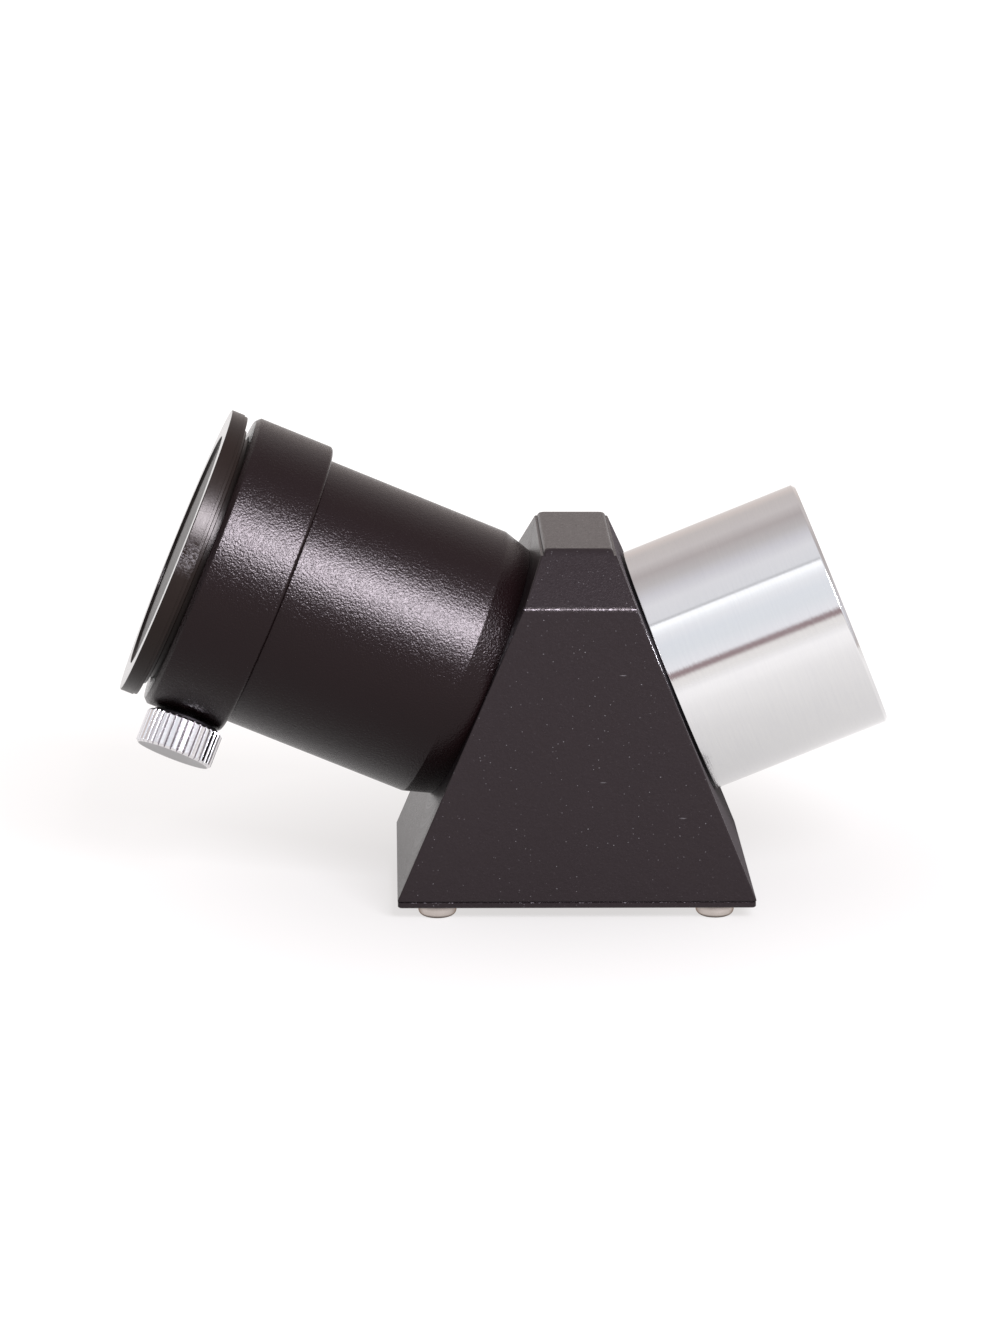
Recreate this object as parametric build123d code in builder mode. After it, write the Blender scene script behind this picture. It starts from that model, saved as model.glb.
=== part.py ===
from build123d import *

import math
import os

# 45-degree erecting star diagonal for 1.25 inch eyepieces, as separate pieces.
#
# Millimetres, +Z up.  The origin lies on the plane that the four screw heads stand on, midway
# between them and right under the point where the two optical axes cross.  The eyepiece side points
# to -X and up, the telescope side to +X and up, and both optical axes lie in the XZ plane.

# --- driving dimensions ------------------------------------------------------------------------
TILT = 22.5                     # rise of both optical axes, and lean of the housing's sides, degrees
AXIS_Z = 22.3                   # height where the two optical axes cross

# foot
HEAD_HEIGHT = 1.6               # pan heads of the base screws, which are the feet
HEAD_R = 2.36
PLATE_THICKNESS = 0.8
PLATE_INSET = 0.1               # how far the plate stays inside the housing's outline
SCREW_X = 17.07                 # base screws, from the centre
SCREW_Y = 14.25
M2_5_R = 1.25
SCREW_LENGTH = 5.0
HEAD_ROUND = 0.9
CROSS_LENGTH = 2.4              # cross recess in each head
CROSS_WIDTH = 0.5
CROSS_DEPTH = 0.9
THREAD_GAP = 0.05               # radial room of every plain-modelled thread

# housing
HOUSING_WIDTH = 44.1            # along X at its lower rim
HOUSING_DEPTH = 34.5            # along Y
CREASE_Z = 39.2                 # where front and rear bend inward
TOP_Z = 45.25
TOP_DEPTH = 21.5
SHOULDER_Z = 44.55              # narrow ledge at the top of each leaning side
SHOULDER_WIDTH = 0.3
WALL = 2.5
CORNER_R = 0.45
TOP_EDGE_R = 0.4
CAVITY_STEP_Z = 37.5            # the cavity is narrower above this height
CAVITY_TOP_Z = 40.2
CAVITY_TOP_DEPTH = 23.8
BOSS_R = 2.4
BOSS_TOP_Z = 7.9
TAPPED_DEPTH = 4.9

# prism and its mount
PRISM_HEIGHT = 31.5             # from the roof ridge to the sharp 45 degree apex
RIDGE_TO_AXES = 0.5858          # height of the crossing over the ridge, as a share of PRISM_HEIGHT
FACE_TO_AXES = 0.1585           # distance of each face from the crossing, as a share of PRISM_HEIGHT
PRISM_DEPTH = 24.0
APEX_CUT = 1.7                  # the brittle apex is ground off by this much
PAD_THICKNESS = 0.4
CRADLE_LENGTH = 25.0            # along X
CRADLE_DEPTH = 25.6             # along Y
CRADLE_TOP_Z = 12.5
STRAP_WIDTH = 6.0
STRAP_THICKNESS = 0.4
STRAP_FOOT_Z = 6.6
CLAMP_PAD_HEIGHT = 0.8
CLAMP_PAD_WIDTH = 5.0
CLAMP_PAD_LENGTH = 17.0
MASK_THICKNESS = 0.4
MASK_GAP = 0.06                 # between a mask and the polished face behind it
MASK_APERTURE_R = 11.6
M2_R = 1.0
M2_HEAD_R = 1.9
M2_HEAD_HEIGHT = 0.9
SLOT_WIDTH = 0.5
CRADLE_SCREW_Y = 10.2
CRADLE_SCREW_LENGTH = 4.5
CLAMP_SCREW_Z = 9.2
CLAMP_SCREW_LENGTH = 4.0
PAD_INNER = 1.5                 # cork pads, from the ridge
PAD_OUTER = 8.5
PAD_LENGTH = 18.0
STRAP_BEND = 2.0

# stations along both optical axes, counted outward from the crossing
SPIGOT_END = 8.4                # inner end of both threaded spigots
SPIGOT_R = 13.45
LIGHT_R = 12.3                  # clear light path through both spigots
RING_START = 8.5                # lock rings
RING_R = 14.6
NOTCH_ANGLE = 30                # spanner notches, degrees
NOTCH_LENGTH = 1.2
NOTCH_WIDTH = 1.0

# eyepiece barrel
BARREL_R = 17.36
BARREL_ROOT_R = 16.35           # where its cone meets the housing
CONE_END = 16.23
COLLAR_START = 40.05
BARREL_END = 42.2
BARREL_THREAD_R = 17.05
EYEPIECE_BORE_R = 15.95         # a 31.75 mm eyepiece slides in
STOP_SEAT = 17.3
STOP_TOP = 19.5
STOP_THREAD_R = 15.45
STOP_APERTURE_R = 12.6
STOP_SLOT_R = 14.45              # radius of the middle of its spanner slots

# collar, clamp ring and dust cap
COLLAR_R = 18.98
COLLAR_END = 50.2
RING_GROOVE_R = 16.75
RING_GROOVE_END = 46.7
COLLAR_EDGE = 0.45
RING_SPLIT = 2.0                # gap of the brass compression ring
RING_TIP_GAP = 0.02             # between the ring and the thumbscrew's tip when just tight
CAP_R = 18.58
CAP_FRONT = 53.36
CAP_FLANGE = 2.1
CAP_STEP_R = 16.8
CAP_STEP = 0.5
CAP_PLUG_R = 15.8
CAP_PLUG_END = 45.2
CAP_PLUG_WALL = 1.2
CAP_LEAD = 0.4
CAP_RECESS_R = 15.1
CAP_RECESS = 0.38               # depth of the shallow dish in its face
CAP_FLOOR = 1.5

# thumbscrew
THUMB_STATION = 44.5            # along the eyepiece axis
THUMB_TURN = 21.8               # from straight below the barrel toward the front, degrees
KNOB_R = 4.875
KNOB_START = 19.52              # distances from the eyepiece axis
KNOB_END = 23.9
KNURLS = 36
KNURL_SIDE = 0.45                # side of the square whose corner cuts each straight knurl
KNOB_CHAMFER = 0.25
SHANK_R = 1.95
SHANK_START = 17.1
SHANK_END = 22.6
TIP_START = 16.7
TIP_R = 1.45
STEM_R = 1.15
STEM_END = 18.9

# nosepiece
NOSE_R = 15.875                 # 1.25 inch barrel
NOSE_END = 35.97
NOSE_CHAMFER = 0.4
RELIEF = 0.35                   # groove at its root
RELIEF_R = 15.45
FILTER_THREAD_R = 14.25         # M28.5 x 0.6
FILTER_THREAD_START = 31.5
NOSE_BORE_R = 13.7
BAFFLE_SEAT = 17.0
BAFFLE_THICKNESS = 1.2
BAFFLE_APERTURE_R = 12.0

# --- derived places ----------------------------------------------------------------------------
LEAN = math.tan(math.radians(TILT))
COS_TILT = math.cos(math.radians(TILT))
SIN_TILT = math.sin(math.radians(TILT))
RIM_Z = HEAD_HEIGHT + PLATE_THICKNESS
APEX_Z = AXIS_Z + (1 - RIDGE_TO_AXES) * PRISM_HEIGHT
RIDGE_Z = APEX_Z - PRISM_HEIGHT
PRISM_FACE = FACE_TO_AXES * PRISM_HEIGHT
PRISM_TOP_Z = APEX_Z - APEX_CUT
STRAP_Z = PRISM_TOP_Z + CLAMP_PAD_HEIGHT
VEE_Z = RIDGE_Z - PAD_THICKNESS * math.sqrt(2)
CAP_BACK = CAP_FRONT - CAP_FLANGE
CAP_FACE = CAP_FRONT - CAP_RECESS
HOUSING_FACE = HOUSING_WIDTH / 2 * COS_TILT - (AXIS_Z - RIM_Z) * SIN_TILT
WALL_INSIDE = HOUSING_FACE - WALL

CROSSING = Vector(0, 0, AXIS_Z)
EYE_DIR = Vector(-COS_TILT, 0, SIN_TILT)
NOSE_DIR = Vector(COS_TILT, 0, SIN_TILT)
EYE_AXIS = Axis(CROSSING, EYE_DIR)
NOSE_AXIS = Axis(CROSSING, NOSE_DIR)
# half sections: local x runs outward along the optical axis, local y is the radius
EYE_SECTION = Plane(CROSSING, x_dir=EYE_DIR, z_dir=(0, 1, 0))
NOSE_SECTION = Plane(CROSSING, x_dir=NOSE_DIR, z_dir=(0, -1, 0))
# cross sections at the crossing: local z runs outward, local y points to the front or the rear
EYE_ACROSS = Plane(CROSSING, x_dir=(0, 1, 0), z_dir=EYE_DIR)
NOSE_ACROSS = Plane(CROSSING, x_dir=(0, 1, 0), z_dir=NOSE_DIR)

turn = math.radians(THUMB_TURN)
THUMB_DIR = Vector(-math.cos(turn) * SIN_TILT, -math.sin(turn), -math.cos(turn) * COS_TILT)
THUMB_ORIGIN = CROSSING + EYE_DIR * THUMB_STATION
THUMB_PLANE = Plane(THUMB_ORIGIN, x_dir=EYE_DIR, z_dir=THUMB_DIR)
THUMB_AXIS = Axis(THUMB_ORIGIN, THUMB_DIR)
# half section of the thumbscrew: local x is the radius, local y runs outward along the screw
THUMB_SECTION = Plane(THUMB_ORIGIN, x_dir=EYE_DIR, z_dir=EYE_DIR.cross(THUMB_DIR))


def half_width(height, inset=0.0):
    """Half the housing's width at a height, for a side face set in by inset."""
    return HOUSING_WIDTH / 2 - (height - RIM_Z) * LEAN - inset / COS_TILT


def trapezium(low, high, inset=0.0):
    """Corners of the housing's front outline between two heights."""
    return [
        (-half_width(low, inset), low),
        (half_width(low, inset), low),
        (half_width(high, inset), high),
        (-half_width(high, inset), high),
    ]


def save(builder, name):
    """Label a finished piece and write its STEP file."""
    builder.part.label = name
    export_step(builder.part, f"parts/{name}.step")


os.makedirs("parts", exist_ok=True)

# --- housing -----------------------------------------------------------------------------------
with BuildPart() as housing:
    with BuildSketch(Plane.XZ):
        with BuildLine():
            Polyline(*trapezium(RIM_Z, TOP_Z), close=True)
        make_face()
    extrude(amount=HOUSING_DEPTH / 2, both=True)
    # front and rear bend inward above the crease
    with BuildSketch(Plane.YZ):
        for side in (-1, 1):
            with BuildLine():
                Polyline(
                    (side * HOUSING_DEPTH / 2, CREASE_Z),
                    (side * TOP_DEPTH / 2, TOP_Z),
                    (side * TOP_DEPTH / 2, TOP_Z + WALL),
                    (side * HOUSING_DEPTH, TOP_Z + WALL),
                    (side * HOUSING_DEPTH, CREASE_Z),
                    close=True,
                )
            make_face()
    extrude(amount=HOUSING_WIDTH, both=True, mode=Mode.SUBTRACT)
    side_faces = housing.faces().filter_by(lambda face: abs(face.normal_at().X) > 0.5)
    fillet(side_faces.edges().filter_by(Axis.Y, reverse=True), radius=CORNER_R)
    # a narrow shoulder at each leaning side leaves the top a little raised
    shoulder_x = half_width(SHOULDER_Z) - SHOULDER_WIDTH + WALL / 2
    with BuildSketch(Plane.XZ):
        for side in (-1, 1):
            with Locations((side * shoulder_x, SHOULDER_Z + WALL / 2)):
                Rectangle(WALL, WALL)
    extrude(amount=HOUSING_DEPTH, both=True, mode=Mode.SUBTRACT)
    fillet(housing.edges().group_by(Axis.Z)[-1].filter_by(Axis.Y), radius=TOP_EDGE_R)
    # cavity in two steps, open at the bottom
    with BuildSketch(Plane.XZ):
        with BuildLine():
            Polyline(*trapezium(RIM_Z, CAVITY_STEP_Z, WALL), close=True)
        make_face()
    extrude(amount=HOUSING_DEPTH / 2 - WALL, both=True, mode=Mode.SUBTRACT)
    with BuildSketch(Plane.XZ):
        with BuildLine():
            Polyline(*trapezium(CAVITY_STEP_Z, CAVITY_TOP_Z, WALL), close=True)
        make_face()
    extrude(amount=CAVITY_TOP_DEPTH / 2, both=True, mode=Mode.SUBTRACT)
    # screw bosses in the corners
    with BuildSketch(Plane.XY.offset(RIM_Z)):
        with GridLocations(2 * SCREW_X, 2 * SCREW_Y, 2, 2):
            Circle(BOSS_R)
    extrude(amount=BOSS_TOP_Z - RIM_Z)
    with BuildSketch(Plane.XY.offset(RIM_Z)):
        with GridLocations(2 * SCREW_X, 2 * SCREW_Y, 2, 2):
            Circle(M2_5_R + THREAD_GAP)
    extrude(amount=TAPPED_DEPTH, mode=Mode.SUBTRACT)
    # threaded openings for both tubes
    for across in (EYE_ACROSS, NOSE_ACROSS):
        with BuildSketch(across.offset(SPIGOT_END)):
            Circle(SPIGOT_R + THREAD_GAP)
        extrude(amount=HOUSING_FACE, mode=Mode.SUBTRACT)
save(housing, "housing")

# --- foot --------------------------------------------------------------------------------------
with BuildPart() as base_plate:
    with BuildSketch(Plane.XY.offset(HEAD_HEIGHT)):
        RectangleRounded(HOUSING_WIDTH - 2 * PLATE_INSET, HOUSING_DEPTH - 2 * PLATE_INSET, CORNER_R)
        with GridLocations(2 * SCREW_X, 2 * SCREW_Y, 2, 2):
            Circle(M2_5_R + 3 * THREAD_GAP, mode=Mode.SUBTRACT)
        with Locations((0, CRADLE_SCREW_Y), (0, -CRADLE_SCREW_Y)):
            Circle(M2_R + 3 * THREAD_GAP, mode=Mode.SUBTRACT)
    extrude(amount=PLATE_THICKNESS)
save(base_plate, "base_plate")

with BuildPart() as base_screws:
    with BuildSketch(Plane.XY):
        with GridLocations(2 * SCREW_X, 2 * SCREW_Y, 2, 2):
            Circle(HEAD_R)
    extrude(amount=HEAD_HEIGHT)
    fillet(base_screws.edges().group_by(Axis.Z)[0], radius=HEAD_ROUND)
    with BuildSketch(Plane.XY.offset(HEAD_HEIGHT)):
        with GridLocations(2 * SCREW_X, 2 * SCREW_Y, 2, 2):
            Circle(M2_5_R)
    extrude(amount=SCREW_LENGTH)
    # cross recess for the screwdriver
    with BuildSketch(Plane.XY):
        with GridLocations(2 * SCREW_X, 2 * SCREW_Y, 2, 2):
            Rectangle(CROSS_LENGTH, CROSS_WIDTH)
            Rectangle(CROSS_WIDTH, CROSS_LENGTH)
    extrude(amount=CROSS_DEPTH, mode=Mode.SUBTRACT)
save(base_screws, "base_screws")

# --- prism and its mount -----------------------------------------------------------------------
with BuildPart() as roof_prism:
    with BuildSketch(Plane.XZ):
        with BuildLine():
            Polyline(
                (-PRISM_HEIGHT * LEAN, RIDGE_Z),
                (PRISM_HEIGHT * LEAN, RIDGE_Z),
                (APEX_CUT * LEAN, PRISM_TOP_Z),
                (-APEX_CUT * LEAN, PRISM_TOP_Z),
                close=True,
            )
        make_face()
    extrude(amount=PRISM_DEPTH / 2, both=True)
    # the underside is the 90 degree roof, with its ridge along X
    with BuildSketch(Plane.YZ):
        with BuildLine():
            Polyline(
                (0, RIDGE_Z),
                (PRISM_DEPTH / 2, RIDGE_Z + PRISM_DEPTH / 2),
                (PRISM_DEPTH / 2, APEX_Z),
                (-PRISM_DEPTH / 2, APEX_Z),
                (-PRISM_DEPTH / 2, RIDGE_Z + PRISM_DEPTH / 2),
                close=True,
            )
        make_face()
    extrude(amount=PRISM_HEIGHT, both=True, mode=Mode.INTERSECT)
save(roof_prism, "roof_prism")

with BuildPart() as prism_cradle:
    with BuildSketch(Plane.YZ):
        with BuildLine():
            Polyline(
                (-CRADLE_DEPTH / 2, RIM_Z),
                (CRADLE_DEPTH / 2, RIM_Z),
                (CRADLE_DEPTH / 2, CRADLE_TOP_Z),
                (CRADLE_TOP_Z - VEE_Z, CRADLE_TOP_Z),
                (0, VEE_Z),
                (VEE_Z - CRADLE_TOP_Z, CRADLE_TOP_Z),
                (-CRADLE_DEPTH / 2, CRADLE_TOP_Z),
                close=True,
            )
        make_face()
    extrude(amount=CRADLE_LENGTH / 2, both=True)
    with BuildSketch(Plane.XY.offset(RIM_Z)):
        with Locations((0, CRADLE_SCREW_Y), (0, -CRADLE_SCREW_Y)):
            Circle(M2_R + THREAD_GAP)
    extrude(amount=CRADLE_SCREW_LENGTH, mode=Mode.SUBTRACT)
    for side in (-1, 1):
        with BuildSketch(Plane((0, side * CRADLE_DEPTH / 2, CLAMP_SCREW_Z), z_dir=(0, -side, 0))):
            Circle(M2_R + THREAD_GAP)
        extrude(amount=CLAMP_SCREW_LENGTH, mode=Mode.SUBTRACT)
save(prism_cradle, "prism_cradle")

with BuildPart() as cradle_pads:
    with BuildSketch(Plane.YZ):
        for side in (-1, 1):
            with BuildLine():
                Polyline(
                    (side * PAD_INNER, VEE_Z + PAD_INNER),
                    (side * PAD_OUTER, VEE_Z + PAD_OUTER),
                    (side * PAD_OUTER, RIDGE_Z + PAD_OUTER),
                    (side * PAD_INNER, RIDGE_Z + PAD_INNER),
                    close=True,
                )
            make_face()
    extrude(amount=PAD_LENGTH / 2, both=True)
save(cradle_pads, "cradle_pads")

with BuildPart() as cradle_screws:
    with BuildSketch(Plane.XY.offset(HEAD_HEIGHT)):
        with Locations((0, CRADLE_SCREW_Y), (0, -CRADLE_SCREW_Y)):
            Circle(M2_R)
    extrude(amount=CRADLE_SCREW_LENGTH)
    with BuildSketch(Plane.XY.offset(HEAD_HEIGHT)):
        with Locations((0, CRADLE_SCREW_Y), (0, -CRADLE_SCREW_Y)):
            Circle(M2_HEAD_R)
    extrude(amount=-M2_HEAD_HEIGHT)
    with BuildSketch(Plane.XY.offset(HEAD_HEIGHT - M2_HEAD_HEIGHT)):
        with Locations((0, CRADLE_SCREW_Y), (0, -CRADLE_SCREW_Y)):
            Rectangle(2 * M2_HEAD_R, SLOT_WIDTH)
    extrude(amount=M2_HEAD_HEIGHT / 2, mode=Mode.SUBTRACT)
save(cradle_screws, "cradle_screws")

# bronze strap over the apex, with both feet on the cradle's sides
with BuildPart() as clamp_strap:
    with BuildSketch(Plane.YZ):
        with BuildLine():
            FilletPolyline(
                (-CRADLE_DEPTH / 2 - STRAP_THICKNESS, STRAP_FOOT_Z),
                (-CRADLE_DEPTH / 2 - STRAP_THICKNESS, STRAP_Z + STRAP_THICKNESS),
                (CRADLE_DEPTH / 2 + STRAP_THICKNESS, STRAP_Z + STRAP_THICKNESS),
                (CRADLE_DEPTH / 2 + STRAP_THICKNESS, STRAP_FOOT_Z),
                radius=STRAP_BEND,
            )
            Line(
                (CRADLE_DEPTH / 2 + STRAP_THICKNESS, STRAP_FOOT_Z),
                (CRADLE_DEPTH / 2, STRAP_FOOT_Z),
            )
            FilletPolyline(
                (CRADLE_DEPTH / 2, STRAP_FOOT_Z),
                (CRADLE_DEPTH / 2, STRAP_Z),
                (-CRADLE_DEPTH / 2, STRAP_Z),
                (-CRADLE_DEPTH / 2, STRAP_FOOT_Z),
                radius=STRAP_BEND - STRAP_THICKNESS,
            )
            Line(
                (-CRADLE_DEPTH / 2, STRAP_FOOT_Z),
                (-CRADLE_DEPTH / 2 - STRAP_THICKNESS, STRAP_FOOT_Z),
            )
        make_face()
    extrude(amount=STRAP_WIDTH / 2, both=True)
    with BuildSketch(Plane.XZ.offset(-HOUSING_DEPTH / 2)):
        with Locations((0, CLAMP_SCREW_Z)):
            Circle(M2_R + 3 * THREAD_GAP)
    extrude(amount=HOUSING_DEPTH, mode=Mode.SUBTRACT)
save(clamp_strap, "clamp_strap")

with BuildPart() as clamp_screws:
    for side in (-1, 1):
        foot = CRADLE_DEPTH / 2 + STRAP_THICKNESS
        with BuildSketch(Plane((0, side * foot, CLAMP_SCREW_Z), z_dir=(0, -side, 0))):
            Circle(M2_R)
        extrude(amount=CLAMP_SCREW_LENGTH)
        with BuildSketch(Plane((0, side * foot, CLAMP_SCREW_Z), z_dir=(0, side, 0))):
            Circle(M2_HEAD_R)
        extrude(amount=M2_HEAD_HEIGHT)
        with BuildSketch(Plane((0, side * (foot + M2_HEAD_HEIGHT), CLAMP_SCREW_Z), z_dir=(0, -side, 0))):
            Rectangle(2 * M2_HEAD_R, SLOT_WIDTH)
        extrude(amount=M2_HEAD_HEIGHT / 2, mode=Mode.SUBTRACT)
save(clamp_screws, "clamp_screws")

with BuildPart() as clamp_pad:
    with BuildSketch(Plane.XY.offset(PRISM_TOP_Z)):
        RectangleRounded(CLAMP_PAD_WIDTH, CLAMP_PAD_LENGTH, CORNER_R)
    extrude(amount=CLAMP_PAD_HEIGHT)
save(clamp_pad, "clamp_pad")

# thin blackened light masks on both polished faces, standing on the cradle
for name, across in (("entrance_mask", NOSE_ACROSS), ("exit_mask", EYE_ACROSS)):
    with BuildPart() as mask:
        with BuildSketch(across.offset(PRISM_FACE + MASK_GAP)):
            Rectangle(PRISM_DEPTH, 2 * PRISM_DEPTH)
            Circle(MASK_APERTURE_R, mode=Mode.SUBTRACT)
        extrude(amount=MASK_THICKNESS)
        with BuildSketch(Plane.XY.offset(CRADLE_TOP_Z)):
            Rectangle(HOUSING_WIDTH, HOUSING_DEPTH)
        extrude(amount=PRISM_TOP_Z - MASK_GAP - CRADLE_TOP_Z, mode=Mode.INTERSECT)
    save(mask, name)

# --- eyepiece side -----------------------------------------------------------------------------
with BuildPart() as eyepiece_barrel:
    with BuildSketch(EYE_SECTION):
        with BuildLine():
            Polyline(
                (SPIGOT_END, LIGHT_R),
                (SPIGOT_END, SPIGOT_R),
                (HOUSING_FACE, SPIGOT_R),
                (HOUSING_FACE, BARREL_ROOT_R),
                (CONE_END, BARREL_R),
                (COLLAR_START, BARREL_R),
                (COLLAR_START, BARREL_THREAD_R),
                (BARREL_END, BARREL_THREAD_R),
                (BARREL_END, EYEPIECE_BORE_R),
                (STOP_TOP, EYEPIECE_BORE_R),
                (STOP_TOP, STOP_THREAD_R),
                (STOP_SEAT, STOP_THREAD_R),
                (STOP_SEAT, LIGHT_R),
                close=True,
            )
        make_face()
    revolve(axis=EYE_AXIS)
save(eyepiece_barrel, "eyepiece_barrel")

with BuildPart() as eyepiece_stop_ring:
    with BuildSketch(EYE_ACROSS.offset(STOP_SEAT)):
        Circle(STOP_THREAD_R - THREAD_GAP)
        Circle(STOP_APERTURE_R, mode=Mode.SUBTRACT)
    extrude(amount=STOP_TOP - STOP_SEAT)
    with BuildSketch(EYE_ACROSS.offset(STOP_TOP)):
        with PolarLocations(STOP_SLOT_R, 2):
            Rectangle(NOTCH_LENGTH, NOTCH_WIDTH)
    extrude(amount=-SLOT_WIDTH, mode=Mode.SUBTRACT)
save(eyepiece_stop_ring, "eyepiece_stop_ring")

with BuildPart() as barrel_lock_ring:
    with BuildSketch(EYE_ACROSS.offset(RING_START)):
        Circle(RING_R)
        Circle(SPIGOT_R + THREAD_GAP, mode=Mode.SUBTRACT)
        with PolarLocations(RING_R, 2, start_angle=NOTCH_ANGLE):
            Rectangle(NOTCH_LENGTH, NOTCH_WIDTH, mode=Mode.SUBTRACT)
    extrude(amount=WALL_INSIDE - RING_START)
save(barrel_lock_ring, "barrel_lock_ring")

with BuildPart() as collar:
    with BuildSketch(EYE_SECTION):
        with BuildLine():
            Polyline(
                (COLLAR_START, BARREL_THREAD_R + THREAD_GAP),
                (COLLAR_START, COLLAR_R),
                (COLLAR_END, COLLAR_R),
                (COLLAR_END, EYEPIECE_BORE_R),
                (RING_GROOVE_END, EYEPIECE_BORE_R),
                (RING_GROOVE_END, RING_GROOVE_R),
                (BARREL_END, RING_GROOVE_R),
                (BARREL_END, BARREL_THREAD_R + THREAD_GAP),
                close=True,
            )
        make_face()
    revolve(axis=EYE_AXIS)
    rims = collar.edges().filter_by(GeomType.CIRCLE)
    fillet(rims.filter_by(lambda edge: abs(edge.radius - COLLAR_R) < THREAD_GAP), radius=COLLAR_EDGE)
    with BuildSketch(THUMB_PLANE.offset(EYEPIECE_BORE_R)):
        Circle(SHANK_R + THREAD_GAP)
    extrude(amount=KNOB_END - EYEPIECE_BORE_R, mode=Mode.SUBTRACT)
save(collar, "collar")

with BuildPart() as compression_ring:
    with BuildSketch(EYE_ACROSS.offset(BARREL_END + THREAD_GAP)):
        Circle(TIP_START - RING_TIP_GAP)
        Circle(EYEPIECE_BORE_R + THREAD_GAP, mode=Mode.SUBTRACT)
    extrude(amount=RING_GROOVE_END - BARREL_END - 2 * THREAD_GAP)
    # the split faces away from the thumbscrew
    with BuildSketch(THUMB_PLANE.offset(-RING_GROOVE_R)):
        Rectangle(2 * RING_GROOVE_R, RING_SPLIT)
    extrude(amount=RING_GROOVE_R / 2, mode=Mode.SUBTRACT)
save(compression_ring, "compression_ring")

# --- thumbscrew --------------------------------------------------------------------------------
with BuildPart() as thumbscrew_tip:
    with BuildSketch(THUMB_SECTION):
        with BuildLine():
            Polyline(
                (0, TIP_START),
                (TIP_R, TIP_START),
                (TIP_R, SHANK_START - THREAD_GAP),
                (STEM_R, SHANK_START - THREAD_GAP),
                (STEM_R, STEM_END),
                (0, STEM_END),
                close=True,
            )
        make_face()
    revolve(axis=THUMB_AXIS)
save(thumbscrew_tip, "thumbscrew_tip")

with BuildPart() as thumbscrew_shank:
    with BuildSketch(THUMB_SECTION):
        with BuildLine():
            Polyline(
                (STEM_R + THREAD_GAP, SHANK_START),
                (SHANK_R, SHANK_START),
                (SHANK_R, SHANK_END),
                (0, SHANK_END),
                (0, STEM_END + THREAD_GAP),
                (STEM_R + THREAD_GAP, STEM_END + THREAD_GAP),
                close=True,
            )
        make_face()
    revolve(axis=THUMB_AXIS)
save(thumbscrew_shank, "thumbscrew_shank")

with BuildPart() as thumbscrew_knob:
    with BuildSketch(THUMB_PLANE.offset(KNOB_START)):
        Circle(KNOB_R)
    extrude(amount=KNOB_END - KNOB_START)
    chamfer(thumbscrew_knob.edges(), length=KNOB_CHAMFER)
    with BuildSketch(THUMB_PLANE.offset(KNOB_START)):
        with PolarLocations(KNOB_R, KNURLS):
            Rectangle(KNURL_SIDE, KNURL_SIDE, rotation=45)
    extrude(amount=KNOB_END - KNOB_START, mode=Mode.SUBTRACT)
    with BuildSketch(THUMB_PLANE.offset(KNOB_START)):
        Circle(SHANK_R)
    extrude(amount=SHANK_END - KNOB_START, mode=Mode.SUBTRACT)
save(thumbscrew_knob, "thumbscrew_knob")

# --- dust cap ----------------------------------------------------------------------------------
with BuildPart() as dust_cap:
    with BuildSketch(EYE_SECTION):
        with BuildLine():
            Polyline(
                (CAP_FACE, 0),
                (CAP_FACE, CAP_RECESS_R),
                (CAP_FRONT, CAP_RECESS_R),
                (CAP_FRONT, CAP_R),
                (CAP_BACK, CAP_R),
                (CAP_BACK, CAP_STEP_R),
                (CAP_BACK - CAP_STEP, CAP_STEP_R),
                (CAP_BACK - CAP_STEP, CAP_PLUG_R),
                (CAP_PLUG_END + CAP_LEAD, CAP_PLUG_R),
                (CAP_PLUG_END, CAP_PLUG_R - CAP_LEAD),
                (CAP_PLUG_END, CAP_PLUG_R - CAP_PLUG_WALL),
                (CAP_FACE - CAP_FLOOR, CAP_PLUG_R - CAP_PLUG_WALL),
                (CAP_FACE - CAP_FLOOR, 0),
                close=True,
            )
        make_face()
    revolve(axis=EYE_AXIS)
save(dust_cap, "dust_cap")

# --- telescope side ----------------------------------------------------------------------------
with BuildPart() as nosepiece:
    with BuildSketch(NOSE_SECTION):
        with BuildLine():
            Polyline(
                (SPIGOT_END, LIGHT_R),
                (SPIGOT_END, SPIGOT_R),
                (HOUSING_FACE, SPIGOT_R),
                (HOUSING_FACE, RELIEF_R),
                (HOUSING_FACE + RELIEF, RELIEF_R),
                (HOUSING_FACE + RELIEF, NOSE_R),
                (NOSE_END - NOSE_CHAMFER, NOSE_R),
                (NOSE_END, NOSE_R - NOSE_CHAMFER),
                (NOSE_END, FILTER_THREAD_R + NOSE_CHAMFER),
                (NOSE_END - NOSE_CHAMFER, FILTER_THREAD_R),
                (FILTER_THREAD_START, FILTER_THREAD_R),
                (FILTER_THREAD_START, NOSE_BORE_R),
                (BAFFLE_SEAT, NOSE_BORE_R),
                (BAFFLE_SEAT, LIGHT_R),
                close=True,
            )
        make_face()
    revolve(axis=NOSE_AXIS)
save(nosepiece, "nosepiece")

with BuildPart() as nosepiece_baffle:
    with BuildSketch(NOSE_ACROSS.offset(BAFFLE_SEAT)):
        Circle(NOSE_BORE_R - THREAD_GAP)
        Circle(BAFFLE_APERTURE_R, mode=Mode.SUBTRACT)
    extrude(amount=BAFFLE_THICKNESS)
save(nosepiece_baffle, "nosepiece_baffle")

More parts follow.
